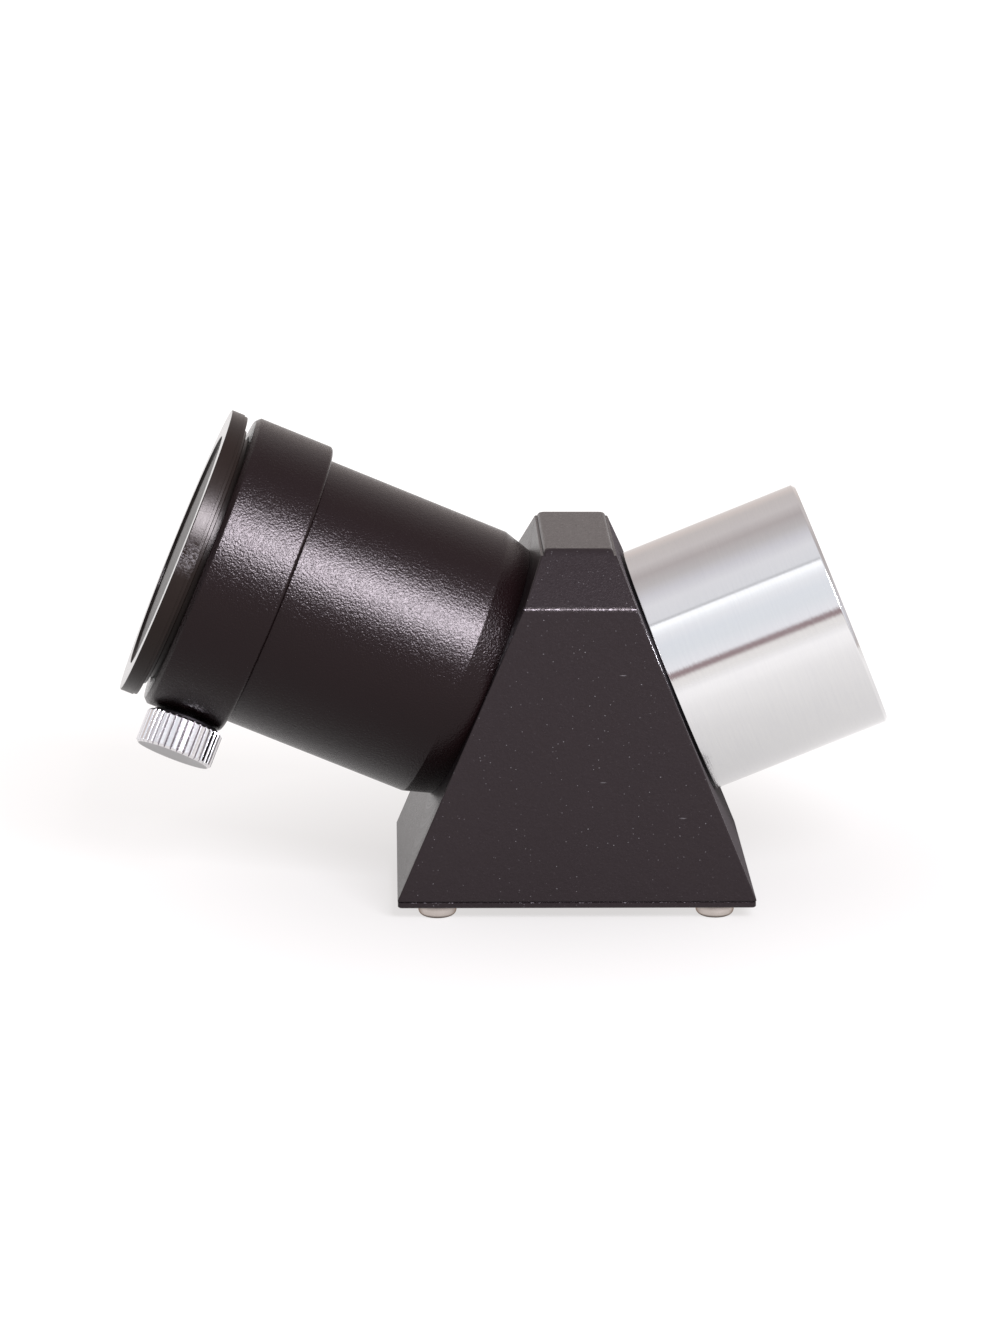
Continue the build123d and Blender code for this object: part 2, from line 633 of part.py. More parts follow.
with BuildPart() as nosepiece_lock_ring:
    with BuildSketch(NOSE_ACROSS.offset(RING_START)):
        Circle(RING_R)
        Circle(SPIGOT_R + THREAD_GAP, mode=Mode.SUBTRACT)
        with PolarLocations(RING_R, 2, start_angle=NOTCH_ANGLE):
            Rectangle(NOTCH_LENGTH, NOTCH_WIDTH, mode=Mode.SUBTRACT)
    extrude(amount=WALL_INSIDE - RING_START)
save(nosepiece_lock_ring, "nosepiece_lock_ring")
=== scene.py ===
"""Star diagonal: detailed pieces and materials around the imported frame, in metres."""
import math

import bmesh
import bpy
from mathutils import Matrix, Vector


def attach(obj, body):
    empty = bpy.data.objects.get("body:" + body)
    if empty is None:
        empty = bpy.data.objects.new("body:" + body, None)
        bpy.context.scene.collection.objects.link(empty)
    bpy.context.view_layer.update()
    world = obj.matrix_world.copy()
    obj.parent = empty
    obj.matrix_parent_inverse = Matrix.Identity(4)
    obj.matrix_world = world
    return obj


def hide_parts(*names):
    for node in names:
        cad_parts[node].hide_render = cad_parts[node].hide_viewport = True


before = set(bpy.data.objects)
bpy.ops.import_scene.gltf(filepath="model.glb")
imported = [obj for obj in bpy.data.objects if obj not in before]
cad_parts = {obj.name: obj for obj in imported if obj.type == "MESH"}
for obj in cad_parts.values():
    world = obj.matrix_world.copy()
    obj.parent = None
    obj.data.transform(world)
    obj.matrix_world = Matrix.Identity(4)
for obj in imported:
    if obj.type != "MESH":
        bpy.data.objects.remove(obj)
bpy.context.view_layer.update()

MM = 0.001

# --- sizes in millimetres, as in the CAD frame ---------------------------------------------------
TILT = math.radians(22.5)        # rise of both tubes
AXIS_Z = 22.3                    # height at which their axes cross
HEAD_HEIGHT = 1.6                # the screw heads that the base plate stands on
PLATE_THICKNESS = 0.8
RIM_Z = HEAD_HEIGHT + PLATE_THICKNESS
HOUSING_WIDTH = 44.1             # at the rim
HOUSING_DEPTH = 34.5             # up to the crease, where the front and rear start to lean in
CREASE_Z = 39.2
TOP_Z = 45.25
TOP_DEPTH = 21.5
WALL = 2.5
SPIGOT_R = 13.45                 # the threaded end of each tube, inside the housing
SPIGOT_END = 8.4
LIGHT_R = 12.3                   # the light's way through both spigots
CAP_FRONT = 53.36
CAP_R = 18.58
CAP_DISH_R = 15.1
# from the crossing of the axes to the slanted face that a tube stands on
HOUSING_FACE = HOUSING_WIDTH / 2 * math.cos(TILT) - (AXIS_Z - RIM_Z) * math.sin(TILT)

EYE_DIR = Vector((-math.cos(TILT), 0, math.sin(TILT)))
NOSE_DIR = Vector((math.cos(TILT), 0, math.sin(TILT)))
CROSSING = Vector((0, 0, AXIS_Z))


def axis_frame(origin, along, up):
    """Matrix from a piece's local millimetres (x along its axis, z toward up) to millimetres."""
    along = along.normalized()
    side = up.cross(along).normalized()
    up = along.cross(side)
    turn = Matrix((along, side, up)).transposed().to_4x4()
    return Matrix.Translation(origin) @ turn


EYE = axis_frame(CROSSING, EYE_DIR, Vector((0, 0, 1)))
NOSE = axis_frame(CROSSING, NOSE_DIR, Vector((0, 0, 1)))
UPRIGHT = Matrix.Identity(4)


# --- mesh helpers --------------------------------------------------------------------------------
POLE_R = 1e-6                    # a ring smaller than this is one point


def rounded(points, steps=6):
    """Outline through (x, y) or (x, y, radius) points, with an arc where there is a radius."""
    count = len(points)
    outline = []
    for i, point in enumerate(points):
        corner = Vector(point[:2])
        radius = point[2] if len(point) > 2 else 0
        before = Vector(points[i - 1][:2]) - corner
        after = Vector(points[(i + 1) % count][:2]) - corner
        if radius <= 0:
            outline.append(tuple(corner))
            continue
        half = before.angle(after) / 2
        reach = radius / math.tan(half)
        inward = (before.normalized() + after.normalized()).normalized()
        middle = corner + inward * (radius / math.sin(half))
        start = (corner + before.normalized() * reach - middle).normalized()
        end = (corner + after.normalized() * reach - middle).normalized()
        for step in range(steps + 1):
            blend = step / steps
            spoke = (start * (1 - blend) + end * blend).normalized()
            outline.append(tuple(middle + spoke * radius))
    return outline


def to_mesh(name, bm, place):
    """Mesh in metres of a bmesh in local millimetres, which it frees."""
    bm.transform(Matrix.Diagonal((MM, MM, MM, 1)) @ place)
    mesh = bpy.data.meshes.new(name)
    bm.to_mesh(mesh)
    bm.free()
    return mesh


def linked(name, data):
    """Object of a mesh, light or camera, in the scene."""
    made = bpy.data.objects.new(name, data)
    bpy.context.scene.collection.objects.link(made)
    return made


def add_piece(name, bm, place, body, stands_for, material, sharp=32):
    """Makes a piece of a bmesh in local millimetres, and rides it.

    Its local place stays with it as an attribute. Edges over sharp degrees stay sharp.
    """
    bmesh.ops.recalc_face_normals(bm, faces=bm.faces)
    local = bm.verts.layers.float_vector.new("local")
    for vert in bm.verts:
        vert[local] = vert.co
    mesh = to_mesh(name, bm, place)
    mesh.shade_smooth()
    mesh.set_sharp_from_angle(angle=math.radians(sharp))
    mesh.materials.append(material)
    piece = linked(name, mesh)
    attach(piece, body)
    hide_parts(*stands_for)
    return piece


def held(outline, closed, reach=0.04):
    """Outline with a point near each end of its long spans, so that shading bends at corners."""
    points = []
    for i, point in enumerate(outline):
        points.append(point)
        if i + 1 == len(outline) and not closed:
            break
        start, end = Vector(point), Vector(outline[(i + 1) % len(outline)])
        length = (end - start).length
        if length > 8 * reach:
            points.append(tuple(start.lerp(end, reach / length)))
            points.append(tuple(end.lerp(start, reach / length)))
    return points


def whole_turn(count):
    """Angles of a ring's points, from local z toward local y."""
    return [2 * math.pi * k / count for k in range(count)]


def ring_of(bm, x, radii, angles):
    """Points round the x axis, each at its own radius."""
    return [bm.verts.new((x, r * math.sin(angle), r * math.cos(angle)))
            for r, angle in zip(radii, angles)]


def skin(bm, first, second):
    """Faces between two rings. A ring of one point is a pole."""
    count = max(len(first), len(second))
    for k in range(count):
        n = (k + 1) % count
        corners = [first[k % len(first)], first[n % len(first)],
                   second[n % len(second)], second[k % len(second)]]
        unique = list(dict.fromkeys(corners))
        if len(unique) > 2:
            bm.faces.new(unique)


def lathe(outline, segments=192, closed=True, shift=None):
    """Turns an outline of (along x, radius) points round the x axis.

    shift(x, radius, angle) gives the radius that a point has instead.
    """
    bm = bmesh.new()
    angles = whole_turn(segments)
    rings = []
    for x, radius in held(outline, closed):
        if radius < POLE_R:
            rings.append([bm.verts.new((x, 0, 0))])
            continue
        radii = [shift(x, radius, angle) if shift else radius for angle in angles]
        rings.append(ring_of(bm, x, radii, angles))
    for first, second in zip(rings, rings[1:]):
        skin(bm, first, second)
    if closed:
        skin(bm, rings[-1], rings[0])
    return bm


def cylinder(radius, start, end, segments=96):
    """Closed cylinder along x in local millimetres."""
    outline = [(start, 0), (start, radius), (end, radius), (end, 0)]
    return lathe(outline, segments, closed=False)


def helper(bm, place=UPRIGHT):
    """A throwaway object from a bmesh in local millimetres, for cutting."""
    bmesh.ops.recalc_face_normals(bm, faces=bm.faces)
    return linked("helper", to_mesh("helper", bm, place))


def cut(piece, *tools):
    """Subtracts helper objects from a piece's mesh, then removes them."""
    for tool in tools:
        boolean = piece.modifiers.new("cut", "BOOLEAN")
        boolean.operation = "DIFFERENCE"
        boolean.solver = "EXACT"
        boolean.object = tool
    bpy.context.view_layer.update()
    graph = bpy.context.evaluated_depsgraph_get()
    mesh = bpy.data.meshes.new_from_object(
        piece.evaluated_get(graph), preserve_all_data_layers=True, depsgraph=graph)
    old = piece.data
    piece.modifiers.clear()
    piece.data = mesh
    bpy.data.meshes.remove(old)
    for tool in tools:
        bpy.data.objects.remove(tool)


# --- material helpers ----------------------------------------------------------------------------
class Nodes:
    """A node tree, with short ways to add and join nodes."""

    def __init__(self, tree):
        self.tree = tree

    def node(self, kind, inputs=None, **settings):
        made = self.tree.nodes.new(kind)
        for key, value in settings.items():
            setattr(made, key, value)
        for key, value in (inputs or {}).items():
            self.join(value, made.inputs[key])
        return made

    def join(self, value, socket):
        if isinstance(value, bpy.types.NodeSocket):
            self.tree.links.new(value, socket)
        else:
            socket.default_value = value

    def math(self, operation, first, second):
        return self.node("ShaderNodeMath", {0: first, 1: second}, operation=operation).outputs[0]

    def times(self, first, second):
        return self.math("MULTIPLY", first, second)

    def plus(self, first, second):
        return self.math("ADD", first, second)

    def vector_math(self, operation, inputs):
        """Outputs of a vector operation: Vector and Value."""
        return self.node("ShaderNodeVectorMath", inputs, operation=operation).outputs

    def remap(self, value, low, high, new_low=0.0, new_high=1.0):
        """Takes low..high to new_low..new_high, and stays within them."""
        inputs = {"Value": value, "From Min": low, "From Max": high,
                  "To Min": new_low, "To Max": new_high}
        return self.node("ShaderNodeMapRange", inputs, clamp=True).outputs[0]

    def mix(self, factor, first, second):
        """Blend of two colours, each a socket or three numbers."""
        made = self.node("ShaderNodeMix", data_type="RGBA")
        self.join(factor, made.inputs[0])
        for value, socket in ((first, made.inputs[6]), (second, made.inputs[7])):
            self.join(value if isinstance(value, bpy.types.NodeSocket) else (*value, 1.0), socket)
        return made.outputs[2]

    def component(self, vector, axis):
        return self.node("ShaderNodeSeparateXYZ", {0: vector}).outputs[axis]


class Shader(Nodes):
    """A material's node tree. Places are in millimetres, so scales are per millimetre."""

    def __init__(self, name):
        self.material = bpy.data.materials.new(name)
        self.material.use_nodes = True
        super().__init__(self.material.node_tree)
        self.surface = self.tree.nodes["Principled BSDF"]

    def noise(self, place, scale, detail=3.0, roughness=0.5, stretch=None):
        if stretch:
            mapping = self.node("ShaderNodeMapping", {"Vector": place, "Scale": stretch})
            place = mapping.outputs[0]
        inputs = {"Vector": place, "Scale": scale, "Detail": detail, "Roughness": roughness}
        return self.node("ShaderNodeTexNoise", inputs).outputs["Fac"]

    def cells(self, place, scale):
        """Distance to the nearest of scattered points, and that point's random colour."""
        made = self.node("ShaderNodeTexVoronoi", {"Vector": place, "Scale": scale}, feature="F1")
        return made.outputs["Distance"], made.outputs["Color"]

    def channel(self, colour, index):
        return self.node("ShaderNodeSeparateColor", {0: colour}).outputs[index]

    def attribute(self, name, output="Fac"):
        made = self.node("ShaderNodeAttribute", attribute_name=name, attribute_type="GEOMETRY")
        return made.outputs[output]

    def local(self):
        """Place in the piece's own millimetres, x along its axis."""
        return self.attribute("local", "Vector")

    def world(self):
        """Place in the CAD frame, in millimetres, for pieces and carried-over CAD nodes alike."""
        place = self.node("ShaderNodeTexCoord").outputs["Object"]
        return self.vector_math("MULTIPLY", {0: place, 1: (1 / MM,) * 3})["Vector"]

    def bump(self, height, distance, strength=1.0):
        inputs = {"Height": height, "Distance": distance * MM, "Strength": strength}
        return self.node("ShaderNodeBump", inputs).outputs[0]

    def grazing(self, start, end):
        """Falls from 1 to 0 where the surface is seen almost edge on, from start to end."""
        facing = self.node("ShaderNodeLayerWeight", {"Blend": 0.5}).outputs["Facing"]
        return self.remap(facing, start, end, 1.0, 0.0)

    def finish(self, colour, roughness, normal=None, **plain):
        """Joins the surface. plain holds the sockets that are the same all over it."""
        self.join(colour, self.surface.inputs["Base Color"])
        self.join(roughness, self.surface.inputs["Roughness"])
        if normal is not None:
            self.join(normal, self.surface.inputs["Normal"])
        for key, value in plain.items():
            self.surface.inputs[key.replace("_", " ")].default_value = value
        return self.material


# --- materials: linear colours, at the low and high end of what varies ---------------------------
PAINT = (0.0022, 0.0012, 0.0016), (0.0030, 0.0018, 0.0022)
PAINT_TINT = (1.0, 0.87, 0.89, 1.0)
DUST = (0.18, 0.17, 0.175)
# bright metal for edge wear, which also stands in for part of the edges' highlight
WORN_EDGE_AND_HIGHLIGHT = (0.26, 0.235, 0.255)
ANODISING = (0.0018, 0.0006, 0.0007), (0.0025, 0.0010, 0.0011)
ANODISING_TINT = (1.0, 0.90, 0.92, 1.0)
CHROME = (0.64, 0.64, 0.645), (0.668, 0.668, 0.665)
KNOB_CHROME = (0.64, 0.63, 0.64), (0.72, 0.71, 0.72)
# duller colour for the painted shade in the knurls' valleys
KNURL_VALLEY_SHADE = (0.36, 0.33, 0.345)
# black that stands in for shade on the knob's neck and end face and in the nosepiece's relief
# groove
PAINTED_SHADE_BLACK = (0.012, 0.011, 0.012)
NICKEL = (0.48, 0.43, 0.40), (0.62, 0.56, 0.52)
NICKEL_RIM = (0.40, 0.31, 0.26)
BRASS = (0.60, 0.40, 0.14), (0.72, 0.51, 0.22)
BRONZE = (0.50, 0.29, 0.13), (0.62, 0.38, 0.18)
# darker colour for the painted contact shade on the screw heads
CONTACT_SHADE = (0.03, 0.02, 0.017)
CAP = (0.0032, 0.0018, 0.0014), (0.0050, 0.0030, 0.0024)
CAP_TINT = (1.0, 0.92, 0.90, 1.0)
CAP_SCUFF = (0.055, 0.05, 0.052)
MATT_BLACK = (0.012, 0.011, 0.011), (0.022, 0.020, 0.020)
NYLON = (0.014, 0.014, 0.014), (0.028, 0.027, 0.026)
RUBBER = (0.018, 0.017, 0.017), (0.035, 0.033, 0.032)
CORK = (0.24, 0.13, 0.065), (0.46, 0.29, 0.16)
CORK_JOINT = (0.10, 0.05, 0.025)
GLASS = (0.90, 0.97, 0.93), (0.94, 0.99, 0.97)
BARIUM_CROWN_IOR = 1.569
WHITE = (1.0, 1.0, 1.0)


def black_paint():
    """Satin charcoal paint with a fine texture, dust, lint and bright metal along the edges: wear,
    and in part a painted highlight.

    "edge" is 1 along the crease, nearly 1 at the plate's upper rim and 0.5 round the corners.
    """
    s = Shader("black_paint")
    place = s.local()
    tone = s.mix(s.noise(place, 0.09, 4), *PAINT)

    # dust in small specks, each as bright as its cell's random colour says
    distance, colour = s.cells(place, 1.6)
    near = s.remap(distance, 0.05, 0.12, 1.0, 0.0)
    speck = s.times(near, s.remap(s.channel(colour, 0), 0.3, 1.0, 0.0, 0.8))
    # lint in fewer, longer streaks
    turned = s.node("ShaderNodeMapping", {"Vector": place, "Rotation": (0.3, 0.9, 0.5),
                                          "Scale": (0.25, 1.4, 1.4)}).outputs[0]
    distance, colour = s.cells(turned, 0.55)
    near = s.remap(distance, 0.02, 0.07, 1.0, 0.0)
    lint = s.times(near, s.math("GREATER_THAN", s.channel(colour, 1), 0.86))
    dusty = s.mix(s.math("MAXIMUM", s.times(speck, 0.5), s.times(lint, 0.22)), tone, DUST)

    # metal shows along the edges, in broken stretches: paint wear, and a painted highlight where
    # the edges catch the light
    edge = s.attribute("edge")
    broken = s.noise(place, 1.6, 5, 0.7)
    worn_and_highlight = s.remap(s.plus(edge, s.times(broken, 0.9)), 1.38, 1.60)

    # grain over orange peel, rougher at the edges and flat where it is seen edge on
    height = s.plus(s.noise(place, 4.2, 3, 0.65), s.times(s.noise(place, 0.9, 2), 0.8))
    rubbed = s.remap(edge, 0.6, 1.0, 1.0, 1.7)
    grip = s.grazing(0.925, 0.965)
    normal = s.bump(s.times(s.times(height, rubbed), grip), 0.05, 0.7)
    satin = s.remap(s.noise(place, 3.0, 3), 0.3, 0.7, 0.27, 0.35)
    roughness = s.times(satin, s.remap(grip, 0.0, 1.0, 3.3, 1.0))
    return s.finish(s.mix(worn_and_highlight, dusty, WORN_EDGE_AND_HIGHLIGHT), roughness, normal,
                    IOR=1.37, Specular_Tint=PAINT_TINT)


def black_anodised():
    """Bead-blasted black anodising: a pebbled grain breaks up highlights that lean to violet."""
    s = Shader("black_anodised")
    place = s.local()
    colour = s.mix(s.noise(place, 0.12, 3), *ANODISING)
    grain = s.noise(place, 3.8, 1)
    fine = s.noise(place, 8.0, 1)
    grip = s.grazing(0.92, 0.98)
    normal = s.bump(s.times(s.plus(grain, s.times(fine, 0.5)), grip), 0.050)
    satin = s.remap(fine, 0.3, 0.7, 0.21, 0.29)
    roughness = s.times(satin, s.remap(grip, 0.0, 1.0, 0.6, 1.0))
    return s.finish(colour, roughness, normal, IOR=1.27, Specular_Tint=ANODISING_TINT)


def chrome(name, low, high, base_roughness):
    """Polished chrome with fine turning marks round the axis and faint wipe marks.

    "groove" darkens the knurls' valleys and "shade" takes chrome to black, both as painted shade.
    """
    s = Shader(name)
    place = s.local()
    turned = s.noise(place, 1.0, 4, 0.65, stretch=(7.0, 0.18, 0.18))
    smear = s.noise(place, 0.22, 3)
    marks = s.remap(s.plus(s.times(turned, 0.7), s.times(smear, 0.3)), 0.35, 0.65)
    # the knurls' valleys are coloured darker, a painted shade
    painted_valley_shade = s.remap(s.attribute("groove"), 0.25, 1.0)
    metal = s.mix(painted_valley_shade, s.mix(marks, low, high), KNURL_VALLEY_SHADE)
    # shade blends chrome toward black, a painted shade, and makes the surface rougher
    shade = s.attribute("shade")
    glossy = s.remap(marks, 0.0, 1.0, base_roughness + 0.04, base_roughness)
    return s.finish(s.mix(shade, metal, PAINTED_SHADE_BLACK), s.plus(glossy, s.times(shade, 0.45)),
                    s.bump(turned, 0.006), Metallic=1.0)


def plated(name, low, high, roughness_low, roughness_high, rim=WHITE):
    """Plated or turned metal with fine scratches, painted darker and rougher where feet meet floor
    and plate, a painted shade.
    """
    s = Shader(name)
    place = s.world()
    clean = s.mix(s.noise(place, 0.9, 4, 0.6), low, high)
    scratch = s.noise(place, 2.0, 4, 0.7, stretch=(6.0, 0.6, 1.5))
    z = s.component(place, "Z")
    # painted shade: darker near the floor and just under the plate, and rougher there too
    shade_at_floor = s.remap(z, 0.15, 0.5, 0.95, 0.0)
    shade_at_plate = s.times(s.remap(z, 1.0, HEAD_HEIGHT, 0.0, 0.7), s.remap(z, 2.0, RIM_Z, 1.0, 0.0))
    painted_contact_shade = s.math("MAXIMUM", shade_at_floor, shade_at_plate)
    glossy = s.remap(scratch, 0.3, 0.7, roughness_low, roughness_high)
    return s.finish(s.mix(painted_contact_shade, clean, CONTACT_SHADE), s.plus(glossy, s.times(painted_contact_shade, 0.6)),
                    s.bump(scratch, 0.008, 0.6), Metallic=1.0, Specular_Tint=(*rim, 1.0))


def cap_plastic():
    """Semi-gloss black plastic with soft mould texture, and scuffs where "gate" was cut."""
    s = Shader("black_cap_plastic")
    place = s.local()
    gate = s.attribute("gate")
    torn = s.remap(s.noise(place, 2.6, 5, 0.75, stretch=(1.0, 0.6, 1.6)), 0.48, 0.60)
    colour = s.mix(s.times(gate, torn), s.mix(s.noise(place, 0.25, 4), *CAP), CAP_SCUFF)
    swirl = s.noise(place, 1.1, 4, 0.6, stretch=(3.0, 0.5, 0.5))
    satin = s.remap(s.plus(swirl, s.times(gate, 0.5)), 0.3, 0.9, 0.27, 0.37)

    # the mould left the front face smoother than the rim, and the dish in it a little duller
    along = s.component(place, "X")
    across = s.vector_math("MULTIPLY", {0: place, 1: (0, 1, 1)})["Vector"]
    radius = s.vector_math("LENGTH", {0: across})["Value"]
    inside_rim = s.remap(radius, CAP_R - 0.15, CAP_R - 0.05, 1.0, 0.0)
    on_face = s.times(inside_rim, s.remap(along, CAP_FRONT - 0.6, CAP_FRONT - 0.5))
    on_dish = s.remap(radius, CAP_DISH_R - 0.1, CAP_DISH_R, 1.0, 0.0)
    smooth = s.remap(on_dish, 0.0, 1.0, 0.11, 0.38)
    roughness = s.node("ShaderNodeMix", {0: on_face, 2: satin, 3: smooth}).outputs[0]
    texture = s.remap(on_face, 0.0, 1.0, 1.0, 0.12)
    height = s.plus(s.noise(place, 4.5, 2), s.times(torn, gate))
    return s.finish(colour, roughness, s.bump(s.times(height, texture), 0.02, 0.6),
                    IOR=1.25, Specular_Tint=CAP_TINT)


def matt(name, colours, cloud, grain, roughness, bump):
    """Matt finish: two colours in clouds, and a grain that carries the roughness and the bump.

    cloud and grain are a noise's scale, detail and roughness, roughness is (low, high) and bump
    is (depth, strength).
    """
    s = Shader(name)
    place = s.world()
    colour = s.mix(s.noise(place, *cloud), *colours)
    fine = s.noise(place, *grain)
    return s.finish(colour, s.remap(fine, 0.3, 0.7, *roughness), s.bump(fine, *bump))


def cork():
    """Pressed cork: pale granules with dark joints."""
    s = Shader("cork")
    distance, colour = s.cells(s.world(), 1.3)
    pale = s.channel(colour, 0)
    joint = s.remap(distance, 0.35, 0.6)
    return s.finish(s.mix(joint, s.mix(pale, *CORK), CORK_JOINT),
                    s.remap(pale, 0, 1, 0.75, 0.9), s.bump(distance, 0.08, 0.7))


def optical_glass():
    """Coated prism glass with a faint green body tint."""
    s = Shader("optical_glass")
    place = s.world()
    film = s.noise(place, 0.12, 2)
    roughness = s.remap(s.noise(place, 0.5, 3), 0.3, 0.7, 0.0, 0.02)
    return s.finish(s.mix(film, *GLASS), roughness, s.bump(film, 0.002, 0.2),
                    Transmission_Weight=1.0, IOR=BARIUM_CROWN_IOR)


# --- housing and feet ----------------------------------------------------------------------------
SIDE_CORNER_R = 0.2
CORNER_STEPS = 6
CORNER_SHARE = 0.5               # how sharp an upright corner counts, for its wear and painted highlight
CREASE_R = 0.9
CREASE_SHARES = (0.0, 0.7, 1.0, 0.7, 0.0)
RIM_ROUND = 0.2
RIM_STEPS = 3
LEDGE = 0.3                      # shoulder between the raised top and the leaning sides
LEDGE_DROP = 0.7
LEDGE_CORNER_R = 0.3
TOP_ROUND = 0.5
TOP_STEPS = 5
TOP_FRONT_SHARE = 0.6            # the top's round at front and rear, as a share of the sides'
CAVITY_TOP = 40.2
CAVITY_TOP_HALF_DEPTH = 11.9
BOX_SIDES = ((0, 1, 2, 3), (4, 5, 6, 7), (0, 1, 5, 4), (1, 2, 6, 5), (2, 3, 7, 6), (3, 0, 4, 7))
BORE_ROOM = 0.05

PLATE_ROOM = 0.1                 # how far the plate stays inside the rim
PLATE_CHAMFER = 0.12
PLATE_CHAMFER_CORNER_R = 0.4
PLATE_CORNER_R = 0.45
PLATE_WEAR_AND_HIGHLIGHT = 0.22                # how far down from the plate's upper side its wear and painted highlight start

SCREW_X = 17.07
SCREW_Y = 14.25
SCREW_SIDES = ((-1, -1), (-1, 1), (1, -1), (1, 1))
HEAD_R = 2.36
HEAD_ROUND = 0.75
SCREW_R = 1.25
SCREW_TIP = 6.6
RECESS_LENGTH = 2.5
RECESS_WIDTH = 0.55
RECESS_DEPTH = 0.95
RECESS_TAPER = 0.55


def half_width(z, inset=0.0):
    """Half the housing's width at a height, for a side face set in by inset."""
    return HOUSING_WIDTH / 2 - (z - RIM_Z) * math.tan(TILT) - inset / math.cos(TILT)


def half_depth(z):
    """Half the housing's depth at a height above the crease."""
    share = (z - CREASE_Z) / (TOP_Z - CREASE_Z)
    return (HOUSING_DEPTH + (TOP_DEPTH - HOUSING_DEPTH) * share) / 2


def rounded_loft(levels):
    """Closed form of stacked rounded rectangles.

    A level is (z, half x, half y, corner radius, edge share).
    """
    bm = bmesh.new()
    edge = bm.verts.layers.float.new("edge")
    rings = []
    for z, half_x, half_y, radius, share in levels:
        ring = []
        for corner, (sx, sy) in enumerate(((1, 1), (-1, 1), (-1, -1), (1, -1))):
            for step in range(CORNER_STEPS + 1):
                angle = math.pi / 2 * (corner + step / CORNER_STEPS)
                x = sx * (half_x - radius) + radius * math.cos(angle)
                y = sy * (half_y - radius) + radius * math.sin(angle)
                vert = bm.verts.new((x, y, z))
                middle = 1 - abs(2 * step / CORNER_STEPS - 1)
                vert[edge] = max(share, CORNER_SHARE * middle)
                ring.append(vert)
        rings.append(ring)
    for low, high in zip(rings, rings[1:]):
        skin(bm, low, high)
    bm.faces.new(rings[0])
    bm.faces.new(rings[-1])
    return bm


def housing_levels():
    """Levels of the housing's outside, from its lower rim to its raised top."""
    levels = []
    for step in range(RIM_STEPS + 1):
        turn = math.pi / 2 * step / RIM_STEPS
        inset = RIM_ROUND * (1 - math.sin(turn))
        z = RIM_Z + RIM_ROUND - RIM_ROUND * math.cos(turn)
        levels.append((z, half_width(z) - inset, HOUSING_DEPTH / 2 - inset, SIDE_CORNER_R, 0.0))

    slope = math.atan2((HOUSING_DEPTH - TOP_DEPTH) / 2, TOP_Z - CREASE_Z)
    reach = CREASE_R * math.tan(slope / 2)
    for step, share in enumerate(CREASE_SHARES):
        turn = slope * step / (len(CREASE_SHARES) - 1)
        z = CREASE_Z - reach + CREASE_R * math.sin(turn)
        depth = HOUSING_DEPTH / 2 - CREASE_R * (1 - math.cos(turn))
        levels.append((z, half_width(z), depth, SIDE_CORNER_R, share))

    ledge_z = TOP_Z - LEDGE_DROP
    wide, deep = half_width(ledge_z), half_depth(ledge_z)
    levels.append((ledge_z, wide, deep, LEDGE_CORNER_R, 0.0))
    levels.append((ledge_z, wide - LEDGE, deep - 0.01, LEDGE_CORNER_R, 0.0))
    for step in range(1, TOP_STEPS + 1):
        turn = math.pi / 2 * step / TOP_STEPS
        z = ledge_z + LEDGE_DROP * math.sin(turn)
        inset = TOP_ROUND * (1 - math.cos(turn))
        front = inset * TOP_FRONT_SHARE
        levels.append((z, wide - LEDGE - inset, half_depth(z) - front, LEDGE_CORNER_R + front, 0.0))
    return levels


def make_housing(material):
    """Housing shell: hollow, open underneath, and bored for both tubes."""
    shell = add_piece("housing_shell", rounded_loft(housing_levels()), UPRIGHT, "frame",
                      ["housing"], material)
    cavity = bmesh.new()
    ends = ((RIM_Z - 1, HOUSING_DEPTH / 2 - WALL), (CAVITY_TOP, CAVITY_TOP_HALF_DEPTH))
    corners = [cavity.verts.new((sx * half_width(z, WALL), sy * depth, z))
               for z, depth in ends for sx, sy in ((-1, -1), (1, -1), (1, 1), (-1, 1))]
    for side in BOX_SIDES:
        cavity.faces.new([corners[k] for k in side])
    bores = [helper(cylinder(SPIGOT_R + BORE_ROOM, SPIGOT_END - 1, HOUSING_FACE + 2), place)
             for place in (EYE, NOSE)]
    cut(shell, helper(cavity), *bores)
    weighted = shell.modifiers.new("flat faces stay flat", "WEIGHTED_NORMAL")
    weighted.keep_sharp = True


def make_base_plate(material):
    half_x = HOUSING_WIDTH / 2 - PLATE_ROOM
    half_y = HOUSING_DEPTH / 2 - PLATE_ROOM
    full = (half_x, half_y, PLATE_CORNER_R)
    drawn_in = (half_x - PLATE_CHAMFER, half_y - PLATE_CHAMFER, PLATE_CHAMFER_CORNER_R)
    levels = [
        (HEAD_HEIGHT, *drawn_in, 0.0),
        (HEAD_HEIGHT + PLATE_CHAMFER, *full, 0.35),
        (RIM_Z - PLATE_WEAR_AND_HIGHLIGHT, *full, 0.2),
        (RIM_Z - PLATE_CHAMFER, *full, 0.93),
        (RIM_Z, *drawn_in, 0.5),
    ]
    add_piece("base_plate_detailed", rounded_loft(levels), UPRIGHT, "frame",
              ["base_plate"], material)


def screw_place(sx, sy):
    return Matrix.Translation((sx * SCREW_X, sy * SCREW_Y, 0))


def recess_arm(sx, sy, turned):
    """One bar of a screw's cross recess. It shortens on its way up into the head."""
    arm = bmesh.new()
    bmesh.ops.create_cube(arm, size=1)
    for vert in arm.verts:
        deep = vert.co.z > 0
        length = RECESS_LENGTH * (RECESS_TAPER if deep else 1.0)
        vert.co.x *= length if turned else RECESS_WIDTH
        vert.co.y *= RECESS_WIDTH if turned else length
        vert.co.z = RECESS_DEPTH if deep else -0.1
    # each screw has stopped at an angle of its own
    arm.transform(screw_place(sx, sy) @ Matrix.Rotation(sx * 0.5 + sy, 4, "Z"))
    return arm


